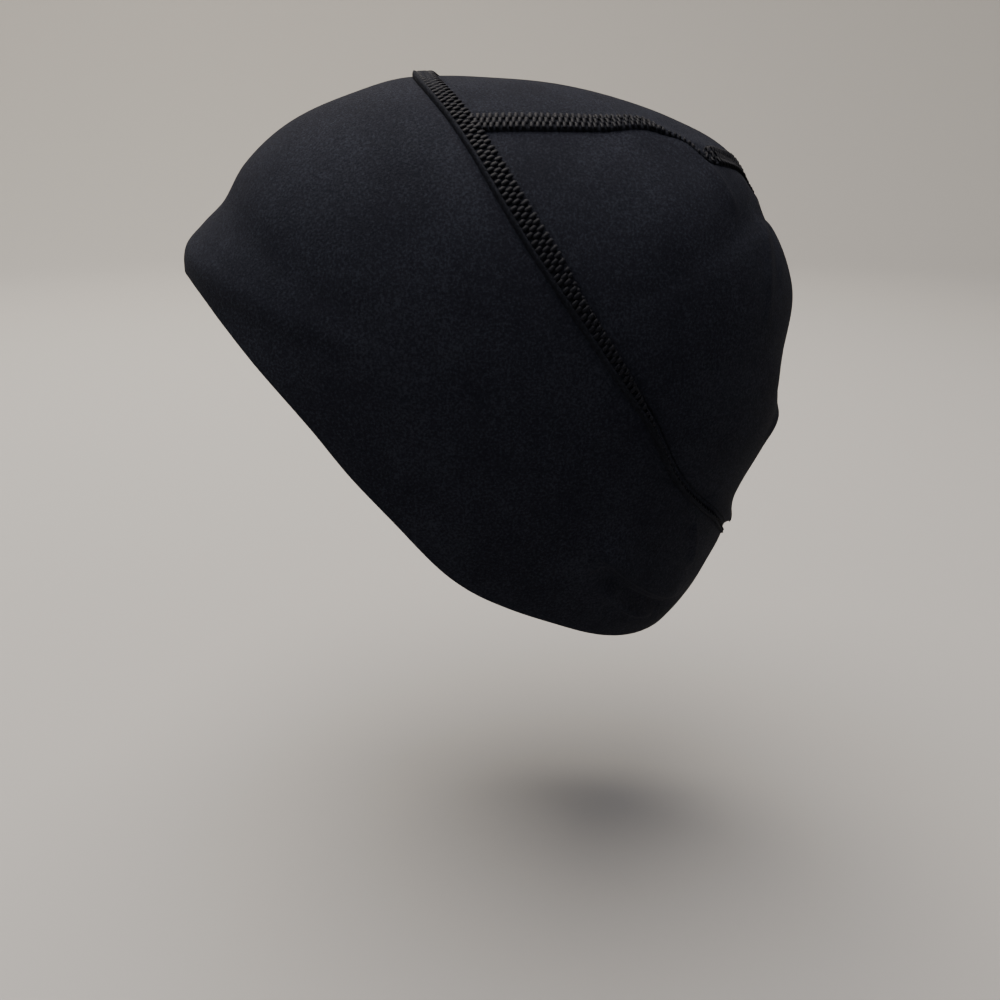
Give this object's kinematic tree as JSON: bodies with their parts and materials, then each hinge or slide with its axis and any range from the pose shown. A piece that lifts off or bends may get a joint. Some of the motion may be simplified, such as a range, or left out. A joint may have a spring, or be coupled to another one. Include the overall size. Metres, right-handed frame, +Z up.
{
  "type": "skull cap",
  "caption": "Close-fitting stretch skull cap with a deep wrap band, a panelled crown and raised flat seams, in its worn form.",
  "frame": {"origin": "inside of the cap where the top of the head touches it, under the front of the band seam", "axes": "+Z up, -Y towards the forehead, +X towards the wearer's left ear"},
  "size_m": [0.156, 0.2067, 0.1884],
  "materials": {
    "jersey": "matt",
    "seam_thread": "matt"
  },
  "bodies": {
    "root": {"band": "jersey", "crown_centre": "jersey", "crown_side_left": "jersey", "crown_side_right": "jersey", "band_seam": "seam_thread", "crown_seam_left": "seam_thread", "crown_seam_right": "seam_thread"}
  },
  "joints": []
}
